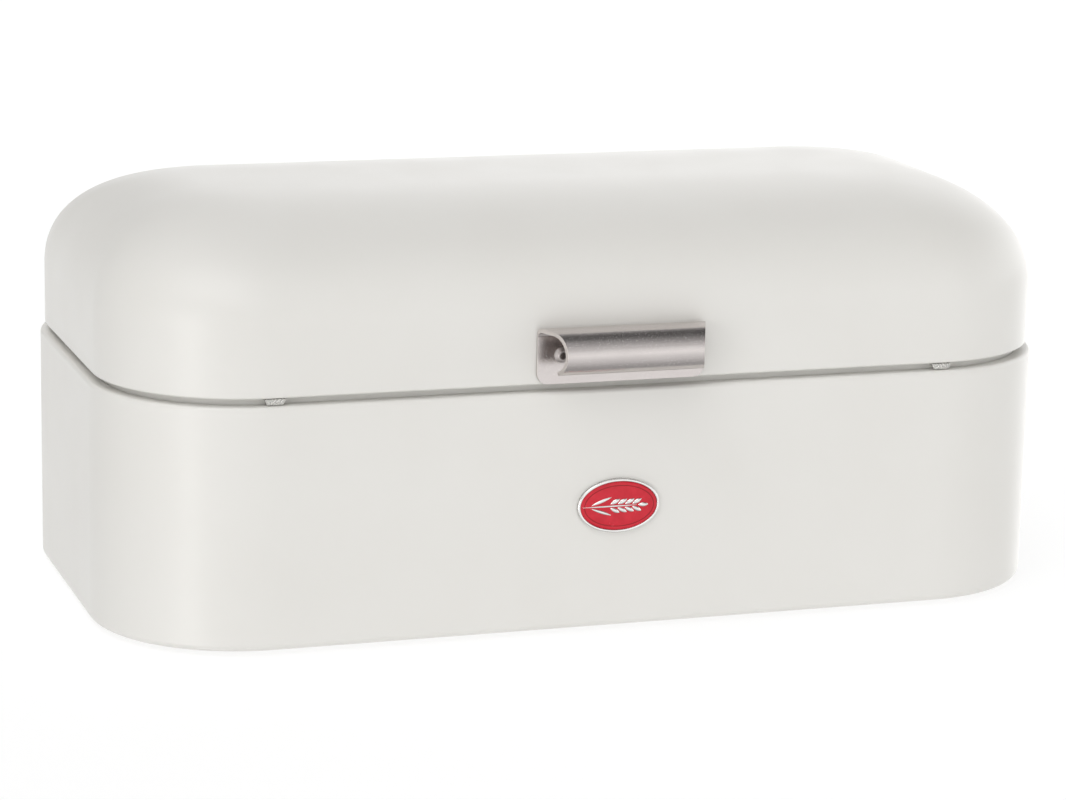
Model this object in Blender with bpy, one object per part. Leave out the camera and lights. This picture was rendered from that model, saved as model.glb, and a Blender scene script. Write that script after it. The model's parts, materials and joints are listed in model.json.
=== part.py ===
"""A sheet-steel bread box: a rounded tub with a domed lid that swings back on two butt hinges.

Metres, +Z up. The front, with the handle, faces -Y. The origin is the bottom centre of the whole
object's box, on the surface that the four feet stand on.
"""

import math

import bmesh
import bpy
from mathutils import Matrix, Vector

# Driving dimensions.
WIDTH = 0.420
DEPTH = 0.224
CORNER_RADIUS = 0.063
SHEET = 0.0008
GAP = 0.0003  # clearance between pieces that touch on the real object
DRILL_LENGTH = 0.008  # long enough to pass through any wall, leaf or plate that is drilled

# Tub, measured from the surface that the feet stand on.
GROUND_CLEARANCE = 0.002
SHOULDER_Z = 0.104
ROLL_RADIUS = 0.003
LEDGE_INSET = 0.0062
BASE_FLANGE_INSET = 0.009

# Lid.
LID_EDGE_Z = 0.107
LID_INSET = 0.002
LID_HEM_RADIUS = 0.0009
LID_FLANGE_INSET = 0.0054
LID_WALL_TOP_Z = 0.133
LID_DOME_HEIGHT = 0.0442
DOME_REACH_X = 0.058
DOME_REACH_Y = 0.089
DOME_TOP_RADIUS = 0.0204
DOME_EXPONENT = 2.2

# Collar ring welded under the tub's ledge, which the lid closes over.
COLLAR_INSET = 0.0066
COLLAR_TOP_Z = 0.113
COLLAR_FLANGE_INSET = 0.0023
COLLAR_LIP_INSET = 0.0092
COLLAR_BEND_RADIUS = 0.0014

# Base pan.
PAN_FLANGE_TOP_Z = 0.012
PAN_BEND_RADIUS = 0.003
PAN_RING_WIDTH = 0.034
PAN_RISE = 0.0015

# Feet.
FOOT_X = 0.176
FOOT_Y = 0.078
FOOT_RADIUS = 0.008
FOOT_STEM_RADIUS = 0.0022
FOOT_HEAD_RADIUS = 0.0036
FOOT_HEAD_HEIGHT = 0.002
FOOT_CHAMFER = 0.0008

# Handle: a bent strip, seen from its end as a plate with a curl in front of it.
HANDLE_WIDTH = 0.073
HANDLE_HEIGHT = 0.0238
HANDLE_THICKNESS = 0.0016
HANDLE_BEND_RADIUS = 0.004
HANDLE_CURL_REACH = 0.011
HANDLE_CURL_RADIUS = 0.009
HANDLE_CURL_END_DEG = -70
HANDLE_CORNER_RADIUS = 0.0047
HANDLE_END_SLANT = 0.38  # how far each end is cut back for each unit of reach
HANDLE_RIVET_X = 0.0260
HANDLE_RIVET_HEIGHT = 0.0122
HANDLE_RIVET_SHANK = 0.0018
HANDLE_RIVET_BORE = 0.0013
HANDLE_RIVET_FLARE_RADIUS = 0.0034
HANDLE_RIVET_LIP_RADIUS = 0.0022
HANDLE_RIVET_LIP_HEIGHT = 0.0021
HANDLE_RIVET_TAIL_HEIGHT = 0.0014
HANDLE_LIFT = 0.0004  # from the lid's edge to the handle's lower edge

# Hinges.
HINGE_X = 0.120
HINGE_WIDTH = 0.044
LEAF_THICKNESS = 0.0012
LEAF_HEIGHT = 0.020
LEAF_CORNER_RADIUS = 0.004
PIN_RADIUS = 0.0015
PIN_CLEARANCE = 0.0001
KNUCKLE_WIDTH = 0.022
KNUCKLE_GAP = 0.0004
KNUCKLE_ROUND_STEPS = 24
KNUCKLE_CURL_END_DEG = 120
LUG_REACH = 0.006
LUG_WIDTH = 0.011
LUG_THICKNESS = 0.0015
LUG_REST_DEG = 3
JOGGLE_LOW = 0.0030
JOGGLE_HIGH = 0.0050
LEAF_RIVET_X = 0.013
LEAF_RIVET_HEIGHT = 0.013
PIN_HEAD_RADIUS = 0.0023
PIN_HEAD_HEIGHT = 0.0011
RIVET_SHANK_RADIUS = 0.0016
RIVET_HEAD_RADIUS = 0.0032
RIVET_HEAD_HEIGHT = 0.0014
RIVET_TAIL_RADIUS = 0.0025
RIVET_TAIL_HEIGHT = 0.0011
RIVET_HOLE_RADIUS = RIVET_SHANK_RADIUS + GAP

# Lid bumpers.
BUMPER_X = 0.146
BUMPER_TOP_WIDTH = 0.009
BUMPER_BASE_WIDTH = 0.0066
BUMPER_FRONT_INSET = 0.0024
BUMPER_BACK_INSET = 0.0060
BUMPER_STEM_RADIUS = 0.0011
BUMPER_BARB_RADIUS = 0.0015
BUMPER_BARB_HEIGHT = 0.0016

# Badge.
BADGE_Z = 0.0545
BADGE_HALF_WIDTH = 0.018
BADGE_HALF_HEIGHT = 0.0115
BADGE_THICKNESS = 0.0014
BADGE_RIM_WIDTH = 0.0011
BADGE_RECESS = 0.0007
BADGE_EDGE_ROUND = 0.0003
BADGE_INLAY_CROWN = 0.0002

# Air holes in the tub's back wall.
AIR_HOLE_RADIUS = 0.0025
AIR_HOLE_PITCH = 0.012
AIR_HOLE_COLUMNS = 9
AIR_HOLE_ROWS_Z = (0.074, 0.086)

# How finely the round shapes are divided.
CORNER_STEPS = 7
ROLL_STEPS = 3
DOME_STEPS = 8
SMALL_ROUND_STEPS = 12
HOLE_STEPS = 10
OVAL_STEPS = 24

# Places that follow from the dimensions. Y is measured from the tub's centre.
HALF_WIDTH = WIDTH / 2
HALF_DEPTH = DEPTH / 2
KNUCKLE_BORE_RADIUS = PIN_RADIUS + PIN_CLEARANCE
KNUCKLE_RADIUS = KNUCKLE_BORE_RADIUS + LEAF_THICKNESS
AXIS_Y = HALF_DEPTH + GAP + KNUCKLE_RADIUS
AXIS_Z = (SHOULDER_Z + LID_EDGE_Z) / 2
HANDLE_BACK_Y = -(HALF_DEPTH - LID_INSET + GAP)
HANDLE_BASE_Z = LID_EDGE_Z + HANDLE_LIFT
HANDLE_REACH = HANDLE_CURL_REACH + HANDLE_CURL_RADIUS
FRONT_REACH = -HANDLE_BACK_Y + HANDLE_REACH
BACK_REACH = AXIS_Y + LUG_REACH
TUB_CENTRE_Y = (FRONT_REACH - BACK_REACH) / 2
SIDES = ((-1, "left"), (1, "right"))


def clear_scene():
    for obj in list(bpy.data.objects):
        bpy.data.objects.remove(obj)


def make_material(name, colour, roughness, metallic=0.0):
    material = bpy.data.materials.new(name)
    material.use_nodes = True
    shader = material.node_tree.nodes["Principled BSDF"]
    shader.inputs["Base Color"].default_value = (*colour, 1.0)
    shader.inputs["Roughness"].default_value = roughness
    shader.inputs["Metallic"].default_value = metallic
    return material


def make_empty(name, parent, location):
    empty = bpy.data.objects.new(name, None)
    bpy.context.scene.collection.objects.link(empty)
    empty.parent = parent
    empty.location = location
    return empty


def add_object(name, mesh, material, parent, location=(0, 0, 0), rotation=(0, 0, 0)):
    obj = bpy.data.objects.new(name, mesh)
    bpy.context.scene.collection.objects.link(obj)
    obj.parent = parent
    obj.location = location
    obj.rotation_euler = rotation
    if material:
        mesh.materials.append(material)
    return obj


def mesh_from(name, points, faces):
    mesh = bpy.data.meshes.new(name)
    mesh.from_pydata(points, [], faces)
    mesh.shade_smooth()
    mesh.set_sharp_from_angle(angle=math.radians(35))
    return mesh


def loft_mesh(name, rings, cap_first=False, cap_last=False):
    """Quads between rings of equal length, which turn anticlockwise from above, from the bottom up."""
    count = len(rings[0])
    points = [point for ring in rings for point in ring]
    faces = []
    for level in range(len(rings) - 1):
        low, high = level * count, (level + 1) * count
        for i in range(count):
            j = (i + 1) % count
            faces.append((low + i, low + j, high + j, high + i))
    if cap_first:
        faces.append(tuple(reversed(range(count))))
    if cap_last:
        faces.append(tuple(range(len(points) - count, len(points))))
    return mesh_from(name, points, faces)


def rounded_outline(half_x, half_y, radius):
    """A rounded rectangle's points, anticlockwise from the right side."""
    points = []
    for corner, (side_x, side_y) in enumerate(((1, 1), (-1, 1), (-1, -1), (1, -1))):
        for step in range(CORNER_STEPS + 1):
            angle = math.radians(90 * (corner + step / CORNER_STEPS))
            x = side_x * (half_x - radius) + radius * math.cos(angle)
            y = side_y * (half_y - radius) + radius * math.sin(angle)
            points.append((x, y))
    return points


def ring_at(inset, z):
    """The tub's plan outline moved in by inset, at height z."""
    outline = rounded_outline(HALF_WIDTH - inset, HALF_DEPTH - inset, CORNER_RADIUS - inset)
    return [(x, y, z) for x, y in outline]


def arc(centre, radius, start_deg, end_deg, steps):
    """Points (inset or reach, height) along an arc."""
    points = []
    for step in range(steps + 1):
        angle = math.radians(start_deg + (end_deg - start_deg) * step / steps)
        points.append((centre[0] + radius * math.cos(angle), centre[1] + radius * math.sin(angle)))
    return points


def thicken(obj, thickness):
    """Gives a sheet its thickness on the side away from its normals."""
    solidify = obj.modifiers.new("Sheet", "SOLIDIFY")
    solidify.thickness = thickness
    solidify.offset = -1
    solidify.use_even_offset = True


def sheet_ring(name, path, material, parent, cap_first=False):
    """A pressed sheet that follows a path of (inset, height) all round the tub's outline."""
    rings = [ring_at(inset, z) for inset, z in path]
    obj = add_object(name, loft_mesh(name, rings, cap_first=cap_first), material, parent)
    thicken(obj, SHEET)
    return obj


def turned_mesh(name, profile, steps=SMALL_ROUND_STEPS):
    """A solid of revolution about Z, from (radius, height) points listed from the bottom up."""
    rings = []
    for radius, height in profile:
        ring = []
        for step in range(steps):
            angle = 2 * math.pi * (step + 0.5) / steps
            ring.append((radius * math.cos(angle), radius * math.sin(angle), height))
        rings.append(ring)
    return loft_mesh(name, rings, cap_first=True, cap_last=True)


def boolean(obj, other, operation):
    """Joins or cuts obj with other, which is a hidden helper."""
    modifier = obj.modifiers.new(other.name, "BOOLEAN")
    modifier.operation = operation
    modifier.solver = "EXACT"
    modifier.object = other
    other.hide_render = True
    other.display_type = "WIRE"


def drill(obj, holes):
    """Cuts round holes. Each is (centre in obj's parent frame, axis name, radius, length)."""
    cutter = bmesh.new()
    turns = {"Z": Matrix.Identity(4), "Y": Matrix.Rotation(math.radians(90), 4, "X")}
    for centre, axis, radius, length in holes:
        bmesh.ops.create_cone(
            cutter,
            cap_ends=True,
            segments=HOLE_STEPS,
            radius1=radius,
            radius2=radius,
            depth=length,
            matrix=Matrix.Translation(Vector(centre)) @ turns[axis],
        )
    mesh = bpy.data.meshes.new(obj.name + "_holes")
    cutter.to_mesh(mesh)
    cutter.free()
    boolean(obj, add_object(mesh.name, mesh, None, obj.parent), "DIFFERENCE")


def block_mesh(name, low, high):
    """A box between two opposite corners."""
    bm = bmesh.new()
    bmesh.ops.create_cube(bm, size=1)
    size = Vector(high) - Vector(low)
    middle = (Vector(high) + Vector(low)) / 2
    bmesh.ops.transform(bm, matrix=Matrix.Translation(middle) @ Matrix.Diagonal((*size, 1)), verts=bm.verts)
    mesh = bpy.data.meshes.new(name)
    bm.to_mesh(mesh)
    bm.free()
    return mesh


def offset_path(path, distance):
    """A path in a plane moved to its right-hand side, with its corners mitred."""
    moved = []
    for i, point in enumerate(path):
        here = Vector(point)
        into = (here - Vector(path[i - 1])).normalized() if i else None
        out = (Vector(path[i + 1]) - here).normalized() if i + 1 < len(path) else None
        into, out = into or out, out or into
        right_in = Vector((into.y, -into.x))
        right_out = Vector((out.y, -out.x))
        bisector = (right_in + right_out).normalized()
        moved.append(here + bisector * distance / bisector.dot(right_in))
    return moved


def ribbon_mesh(name, stations, thickness, half_width):
    """A bent strip. Stations are (reach, height) along its left face, and its width runs along X.

    half_width(reach, height, index) gives half the strip's width at each point of either face.
    Reach becomes +Y.
    """
    left = [Vector(station) for station in stations]
    right = offset_path(stations, thickness)
    points = []
    for index, (a, b) in enumerate(zip(left, right)):
        wide_a = half_width(a.x, a.y, index)
        wide_b = half_width(b.x, b.y, index)
        points += [(-wide_a, a.x, a.y), (wide_a, a.x, a.y), (wide_b, b.x, b.y), (-wide_b, b.x, b.y)]
    faces = [(0, 1, 2, 3)]
    for index in range(len(stations) - 1):
        low, high = 4 * index, 4 * index + 4
        for i in range(4):
            j = (i + 1) % 4
            faces.append((low + j, low + i, high + i, high + j))
    last = 4 * (len(stations) - 1)
    faces.append((last + 3, last + 2, last + 1, last))
    mesh = mesh_from(name, points, faces)
    make_faces_point_out(mesh)
    return mesh


def make_faces_point_out(mesh):
    bm = bmesh.new()
    bm.from_mesh(mesh)
    bmesh.ops.recalc_face_normals(bm, faces=bm.faces)
    bm.to_mesh(mesh)
    bm.free()


def make_tub_shell(material, tub):
    """The drawn wall: rolled under at the bottom, and rolled in to a narrow ledge at the top."""
    low, r = GROUND_CLEARANCE, ROLL_RADIUS
    path = [(BASE_FLANGE_INSET, low)]
    path += arc((r, low + r), r, 270, 180, ROLL_STEPS)
    path += arc((r, SHOULDER_Z - r), r, 180, 90, ROLL_STEPS)
    path += [(LEDGE_INSET, SHOULDER_Z)]
    shell = sheet_ring("body_shell", path, material, tub)
    stem_hole = BUMPER_STEM_RADIUS + GAP
    holes = []
    for side in (-1, 1):
        holes.append(((side * BUMPER_X, bumper_stem_y(), SHOULDER_Z), "Z", stem_hole, DRILL_LENGTH))
        for rivet in (-1, 1):
            x = side * HINGE_X + rivet * LEAF_RIVET_X
            z = AXIS_Z - LEAF_RIVET_HEIGHT
            holes.append(((x, HALF_DEPTH, z), "Y", RIVET_HOLE_RADIUS, DRILL_LENGTH))
    for row_z in AIR_HOLE_ROWS_Z:
        for column in range(AIR_HOLE_COLUMNS):
            x = (column - (AIR_HOLE_COLUMNS - 1) / 2) * AIR_HOLE_PITCH
            holes.append(((x, HALF_DEPTH, row_z), "Y", AIR_HOLE_RADIUS, DRILL_LENGTH))
    drill(shell, holes)


def make_collar(material, tub):
    """An angle ring under the ledge. Its neck stands up inside the lid, with its top edge turned in."""
    flange_z = SHOULDER_Z - SHEET - GAP
    r = COLLAR_BEND_RADIUS
    path = [(COLLAR_FLANGE_INSET, flange_z), (COLLAR_INSET, flange_z)]
    path += arc((COLLAR_INSET + r, COLLAR_TOP_Z - r), r, 180, 90, ROLL_STEPS)
    path += [(COLLAR_LIP_INSET, COLLAR_TOP_Z)]
    collar = sheet_ring("rim_collar", path, material, tub)
    stems = [
        ((side * BUMPER_X, bumper_stem_y(), flange_z), "Z", BUMPER_STEM_RADIUS + GAP, DRILL_LENGTH)
        for side in (-1, 1)
    ]
    drill(collar, stems)


def make_base_pan(material, tub):
    """The floor: a pressed tray that lies on the wall's bottom flange, with a raised middle."""
    low = GROUND_CLEARANCE + SHEET + GAP
    wall = SHEET + GAP
    r = PAN_BEND_RADIUS
    path = [
        (PAN_RING_WIDTH + PAN_RISE, low + PAN_RISE),
        (PAN_RING_WIDTH, low),
    ]
    path += arc((wall + r, low + r), r, 270, 180, ROLL_STEPS)
    path += [(wall, PAN_FLANGE_TOP_Z)]
    pan = sheet_ring("base_pan", path, material, tub, cap_first=True)
    radius = FOOT_STEM_RADIUS + GAP
    drill(pan, [((x, y, low), "Z", radius, DRILL_LENGTH) for x, y in foot_places().values()])


def foot_places():
    return {
        "front_left": (-FOOT_X, -FOOT_Y),
        "front_right": (FOOT_X, -FOOT_Y),
        "back_left": (-FOOT_X, FOOT_Y),
        "back_right": (FOOT_X, FOOT_Y),
    }


def make_feet(material, tub):
    """Rubber feet, each pushed up through a hole in the base pan and held by its own head."""
    pan_low = GROUND_CLEARANCE + SHEET + GAP
    pan_top = pan_low + SHEET
    profile = [
        (FOOT_RADIUS - FOOT_CHAMFER, 0),
        (FOOT_RADIUS, FOOT_CHAMFER),
        (FOOT_RADIUS, pan_low - GAP),
        (FOOT_STEM_RADIUS, pan_low - GAP),
        (FOOT_STEM_RADIUS, pan_top + GAP),
        (FOOT_HEAD_RADIUS, pan_top + GAP),
        (FOOT_STEM_RADIUS, pan_top + GAP + FOOT_HEAD_HEIGHT),
    ]
    mesh = turned_mesh("foot", profile, steps=16)
    mesh.materials.append(material)
    for place, (x, y) in foot_places().items():
        add_object("foot_" + place, mesh, None, tub, (x, y, 0))


def bumper_stem_y():
    return -(HALF_DEPTH - (BUMPER_FRONT_INSET + BUMPER_BACK_INSET) / 2)


def make_bumpers(material, tub):
    """Soft blocks on the ledge that the lid's edge closes onto, each with a barbed stem below."""
    base = SHOULDER_Z + GAP
    top = LID_EDGE_Z - GAP
    half_depth = (BUMPER_BACK_INSET - BUMPER_FRONT_INSET) / 2
    under_flange = SHOULDER_Z - 2 * SHEET - 2 * GAP
    rings = []
    for half_width, z in ((BUMPER_BASE_WIDTH / 2, base), (BUMPER_TOP_WIDTH / 2, top)):
        corners = ((1, 1), (-1, 1), (-1, -1), (1, -1))
        rings.append([(x * half_width, y * half_depth, z) for x, y in corners])
    block = loft_mesh("bumper", rings, cap_first=True, cap_last=True)
    stem_profile = [
        (BUMPER_STEM_RADIUS * 0.6, under_flange - 2 * GAP - BUMPER_BARB_HEIGHT),
        (BUMPER_BARB_RADIUS, under_flange - 2 * GAP),
        (BUMPER_STEM_RADIUS, under_flange - GAP),
        (BUMPER_STEM_RADIUS, base + 2 * GAP),
    ]
    stem = turned_mesh("bumper_stem", stem_profile)
    for side, name in SIDES:
        place = (side * BUMPER_X, bumper_stem_y(), 0)
        bumper = add_object("lid_bumper_" + name, block.copy(), material, tub, place)
        boolean(bumper, add_object("stem_" + name, stem.copy(), None, tub, place), "UNION")


def oval_ring(half_x, half_z, y):
    """An ellipse in a plane of constant y, anticlockwise as seen from the front."""
    ring = []
    for step in range(OVAL_STEPS):
        angle = 2 * math.pi * step / OVAL_STEPS
        ring.append((half_x * math.cos(angle), y, half_z * math.sin(angle)))
    return ring


def oval_disc_mesh(name, steps):
    """Ellipses from back to front, as (shrink, y) pairs, closed at both ends."""
    rings = [oval_ring(BADGE_HALF_WIDTH - shrink, BADGE_HALF_HEIGHT - shrink, y) for shrink, y in steps]
    return loft_mesh(name, rings, cap_first=True, cap_last=True)


def make_badge(rim_material, enamel_material, tub):
    """A plain oval plate with a raised rim round an enamel inlay, bonded to the front wall."""
    back, front = 0, -BADGE_THICKNESS
    floor = front + BADGE_RECESS
    rim = BADGE_RIM_WIDTH
    edge = BADGE_EDGE_ROUND
    plate = oval_disc_mesh(
        "badge_plate",
        [(0, back), (0, front + edge), (edge, front), (rim - edge / 2, front), (rim, floor)],
    )
    inlay = oval_disc_mesh(
        "badge_inlay",
        [(rim + GAP, floor - GAP), (rim + GAP, front), (rim + GAP + 2 * edge, front - BADGE_INLAY_CROWN)],
    )
    place = (0, -(HALF_DEPTH + GAP), BADGE_Z)
    add_object("badge_plate", plate, rim_material, tub, place)
    add_object("badge_inlay", inlay, enamel_material, tub, place)


def dome_ring(turn):
    """The lid's outline where its dome has turned by this many degrees: wall at 0, top at 90."""
    power = 2 / DOME_EXPONENT
    inward = 1 - math.cos(math.radians(turn)) ** power if turn < 90 else 1
    upward = math.sin(math.radians(turn)) ** power
    wall_radius = CORNER_RADIUS - LID_INSET
    outline = rounded_outline(
        HALF_WIDTH - LID_INSET - DOME_REACH_X * inward,
        HALF_DEPTH - LID_INSET - DOME_REACH_Y * inward,
        wall_radius + (DOME_TOP_RADIUS - wall_radius) * inward,
    )
    z = LID_WALL_TOP_Z + LID_DOME_HEIGHT * upward
    return [(x, y, z) for x, y in outline]


def make_lid_shell(material, tub, pivot):
    """The pressed lid, from the flange turned in under its edge, up its wall and over its dome."""
    r = LID_HEM_RADIUS
    hem = arc((LID_INSET + r, LID_EDGE_Z + r), r, 270, 180, ROLL_STEPS)
    rings = [ring_at(inset, z) for inset, z in [(LID_FLANGE_INSET, LID_EDGE_Z)] + hem]
    rings += [dome_ring(90 * step / DOME_STEPS) for step in range(DOME_STEPS + 1)]
    mesh = loft_mesh("lid_shell", rings, cap_last=True)
    mesh.transform(Matrix.Translation((0, -AXIS_Y, -AXIS_Z)))
    shell = add_object("lid_shell", mesh, material, pivot)
    thicken(shell, SHEET)
    holes = []
    for side in (-1, 1):
        x = side * HANDLE_RIVET_X
        z = HANDLE_BASE_Z + HANDLE_RIVET_HEIGHT - AXIS_Z
        holes.append(((x, HANDLE_BACK_Y - AXIS_Y, z), "Y", HANDLE_RIVET_SHANK + GAP, DRILL_LENGTH))
        for rivet in (-1, 1):
            x = side * HINGE_X + rivet * LEAF_RIVET_X
            y = HALF_DEPTH - LID_INSET - AXIS_Y
            holes.append(((x, y, LEAF_RIVET_HEIGHT), "Y", RIVET_HOLE_RADIUS, DRILL_LENGTH))
    drill(shell, holes)


def handle_half_width(reach, height, _index):
    """The ends slant back with reach, and the plate's two lower corners are round."""
    r = HANDLE_CORNER_RADIUS
    half = HANDLE_WIDTH / 2 - HANDLE_END_SLANT * max(0, reach - HANDLE_THICKNESS)
    if height < r and reach < HANDLE_BEND_RADIUS:
        half -= r - math.sqrt(max(0, r * r - (r - height) ** 2))
    return half


def make_handle(material, pivot):
    """A bent strip: a plate riveted to the lid, turned forward at the top and curled down in front."""
    bend, curl, corner = HANDLE_BEND_RADIUS, HANDLE_CURL_RADIUS, HANDLE_CORNER_RADIUS
    stations = [(0, corner * (1 - math.cos(math.radians(angle)))) for angle in (0, 22, 45, 67, 90)]
    stations += arc((bend, HANDLE_HEIGHT - bend), bend, 180, 90, 4)
    stations += arc((HANDLE_CURL_REACH, HANDLE_HEIGHT - curl), curl, 90, HANDLE_CURL_END_DEG, 12)
    mesh = ribbon_mesh("lid_handle", stations, HANDLE_THICKNESS, handle_half_width)
    # Reach runs forward, which is -Y, so the strip is turned about Z. It is the same both ways in X.
    mesh.transform(Matrix.Rotation(math.pi, 4, "Z"))
    handle = add_object(
        "lid_handle",
        mesh,
        material,
        pivot,
        (0, HANDLE_BACK_Y - AXIS_Y, HANDLE_BASE_Z - AXIS_Z),
    )
    z = HANDLE_BASE_Z + HANDLE_RIVET_HEIGHT - AXIS_Z
    y = HANDLE_BACK_Y - AXIS_Y
    radius = HANDLE_RIVET_SHANK + GAP
    drill(handle, [((side * HANDLE_RIVET_X, y, z), "Y", radius, DRILL_LENGTH) for side in (-1, 1)])


def make_handle_rivets(material, pivot):
    """Hollow rivets: a flared head in front of the handle's plate, and a rolled tail inside the lid."""
    plate_front = HANDLE_THICKNESS + GAP
    inside = -(SHEET + 2 * GAP)
    shank, bore = HANDLE_RIVET_SHANK, HANDLE_RIVET_BORE
    lip, top = HANDLE_RIVET_LIP_RADIUS, HANDLE_RIVET_LIP_HEIGHT
    profile = [
        (shank * 1.3, inside - HANDLE_RIVET_TAIL_HEIGHT),
        (shank * 1.6, inside - HANDLE_RIVET_TAIL_HEIGHT * 0.6),
        (shank * 1.5, inside),
        (shank, inside),
        (shank, plate_front),
        (HANDLE_RIVET_FLARE_RADIUS, plate_front),
        (lip * 1.3, plate_front + top * 0.3),
        (lip * 1.2, plate_front + top * 0.85),
        (lip, plate_front + top),
        (bore * 1.1, plate_front + top * 0.9),
        (bore, plate_front - HANDLE_THICKNESS / 2),
    ]
    mesh = turned_mesh("handle_rivet", profile, steps=16)
    mesh.materials.append(material)
    z = HANDLE_BASE_Z + HANDLE_RIVET_HEIGHT - AXIS_Z
    for side, name in SIDES:
        place = (side * HANDLE_RIVET_X, HANDLE_BACK_Y - AXIS_Y, z)
        add_object("handle_rivet_" + name, mesh, None, pivot, place, (math.radians(90), 0, 0))


def leaf_half_width(distance_to_end):
    """A leaf's half-width, with a round corner where it comes near its free end."""
    r = LEAF_CORNER_RADIUS
    half = HINGE_WIDTH / 2
    if distance_to_end < r:
        half -= r - math.sqrt(r * r - (r - distance_to_end) ** 2)
    return half


def leaf_corner_distances():
    """Distances from a leaf's free end at which its round corners are divided."""
    return [LEAF_CORNER_RADIUS * (1 - math.cos(math.radians(angle))) for angle in (0, 30, 60, 90)]


def knuckle_curl(start_deg, end_deg):
    """The outside of a leaf's curl round the pin, clockwise as seen with the back on the right."""
    steps = round((start_deg - end_deg) * KNUCKLE_ROUND_STEPS / 360)
    return arc((0, 0), KNUCKLE_RADIUS, start_deg, end_deg, steps)


def leaf_rivet_holes(x, y, z):
    return [((x + side * LEAF_RIVET_X, y, z), "Y", RIVET_HOLE_RADIUS, DRILL_LENGTH) for side in (-1, 1)]


def make_fixed_leaf(name, x, material, tub):
    """The leaf on the tub: a plate up the back wall, curled back over the pin in two outer knuckles."""
    front = -KNUCKLE_RADIUS
    corners = leaf_corner_distances()
    stations = [(front, distance - LEAF_HEIGHT) for distance in corners]
    stations += knuckle_curl(180, -KNUCKLE_CURL_END_DEG)

    def half_width(_reach, height, index):
        return leaf_half_width(height + LEAF_HEIGHT) if index < len(corners) else HINGE_WIDTH / 2

    place = (x, AXIS_Y, AXIS_Z)
    leaf = add_object(name, ribbon_mesh(name, stations, LEAF_THICKNESS, half_width), material, tub, place)
    half_notch = KNUCKLE_WIDTH / 2 + KNUCKLE_GAP
    notch_low = -(KNUCKLE_RADIUS + KNUCKLE_GAP)
    past = 2 * KNUCKLE_RADIUS
    notch = block_mesh(name + "_notch", (-half_notch, -past, notch_low), (half_notch, past, past))
    boolean(leaf, add_object(notch.name, notch, None, tub, place), "DIFFERENCE")
    drill(leaf, leaf_rivet_holes(x, AXIS_Y + front, AXIS_Z - LEAF_RIVET_HEIGHT))


def make_moving_leaf(name, x, material, pivot):
    """The leaf on the lid: a middle knuckle with a stop lug, then a joggle in to the lid's wall."""
    front = -KNUCKLE_RADIUS
    wall = front - LID_INSET
    neck = knuckle_curl(KNUCKLE_CURL_END_DEG, -180) + [(front, JOGGLE_LOW), (wall, JOGGLE_HIGH)]
    plate = [(wall, JOGGLE_HIGH + GAP)]
    plate += [(wall, LEAF_HEIGHT - distance) for distance in reversed(leaf_corner_distances())]

    def half_width(_reach, height, index):
        return KNUCKLE_WIDTH / 2 if index < len(neck) else leaf_half_width(LEAF_HEIGHT - height)

    mesh = ribbon_mesh(name, neck + plate, LEAF_THICKNESS, half_width)
    leaf = add_object(name, mesh, material, pivot, (x, 0, 0))
    lug = block_mesh(
        name + "_lug",
        (-LUG_WIDTH / 2, KNUCKLE_RADIUS - LEAF_THICKNESS / 2, -LUG_THICKNESS / 2),
        (LUG_WIDTH / 2, LUG_REACH, LUG_THICKNESS / 2),
    )
    turn = (math.radians(LUG_REST_DEG), 0, 0)
    boolean(leaf, add_object(lug.name, lug, None, pivot, (x, 0, 0), turn), "UNION")
    drill(leaf, leaf_rivet_holes(x, wall, LEAF_RIVET_HEIGHT))


def make_hinge_pin(name, x, material, tub):
    """A plain pin with a domed head at each end of the knuckles."""
    half = HINGE_WIDTH / 2 + KNUCKLE_GAP
    rim = half + PIN_HEAD_HEIGHT / 2
    end = half + PIN_HEAD_HEIGHT
    profile = [
        (PIN_HEAD_RADIUS / 2, -end),
        (PIN_HEAD_RADIUS, -rim),
        (PIN_HEAD_RADIUS, -half),
        (PIN_RADIUS, -half),
        (PIN_RADIUS, half),
        (PIN_HEAD_RADIUS, half),
        (PIN_HEAD_RADIUS, rim),
        (PIN_HEAD_RADIUS / 2, end),
    ]
    mesh = turned_mesh(name, profile, steps=KNUCKLE_ROUND_STEPS)
    add_object(name, mesh, material, tub, (x, AXIS_Y, AXIS_Z), (0, math.radians(90), 0))


def make_leaf_rivets(material, tub, pivot):
    """Solid rivets: a domed head outside each leaf and a formed tail inside the sheet."""
    outside = LEAF_THICKNESS + GAP
    inside = -(SHEET + 2 * GAP)
    profile = [
        (RIVET_TAIL_RADIUS * 0.7, inside - RIVET_TAIL_HEIGHT),
        (RIVET_TAIL_RADIUS, inside - RIVET_TAIL_HEIGHT / 2),
        (RIVET_TAIL_RADIUS, inside),
        (RIVET_SHANK_RADIUS, inside),
        (RIVET_SHANK_RADIUS, outside),
        (RIVET_HEAD_RADIUS, outside),
        (RIVET_HEAD_RADIUS * 0.8, outside + RIVET_HEAD_HEIGHT * 0.7),
        (RIVET_HEAD_RADIUS * 0.35, outside + RIVET_HEAD_HEIGHT),
    ]
    mesh = turned_mesh("leaf_rivet", profile)
    mesh.materials.append(material)
    turn = (math.radians(-90), 0, 0)
    on_tub = (AXIS_Y - KNUCKLE_RADIUS, AXIS_Z - LEAF_RIVET_HEIGHT)
    on_lid = (-KNUCKLE_RADIUS - LID_INSET, LEAF_RIVET_HEIGHT)
    for side, name in SIDES:
        for away, end in ((-1, "inner"), (1, "outer")):
            x = side * (HINGE_X + away * LEAF_RIVET_X)
            add_object(f"body_leaf_rivet_{name}_{end}", mesh, None, tub, (x, *on_tub), turn)
            add_object(f"lid_leaf_rivet_{name}_{end}", mesh, None, pivot, (x, *on_lid), turn)


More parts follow.
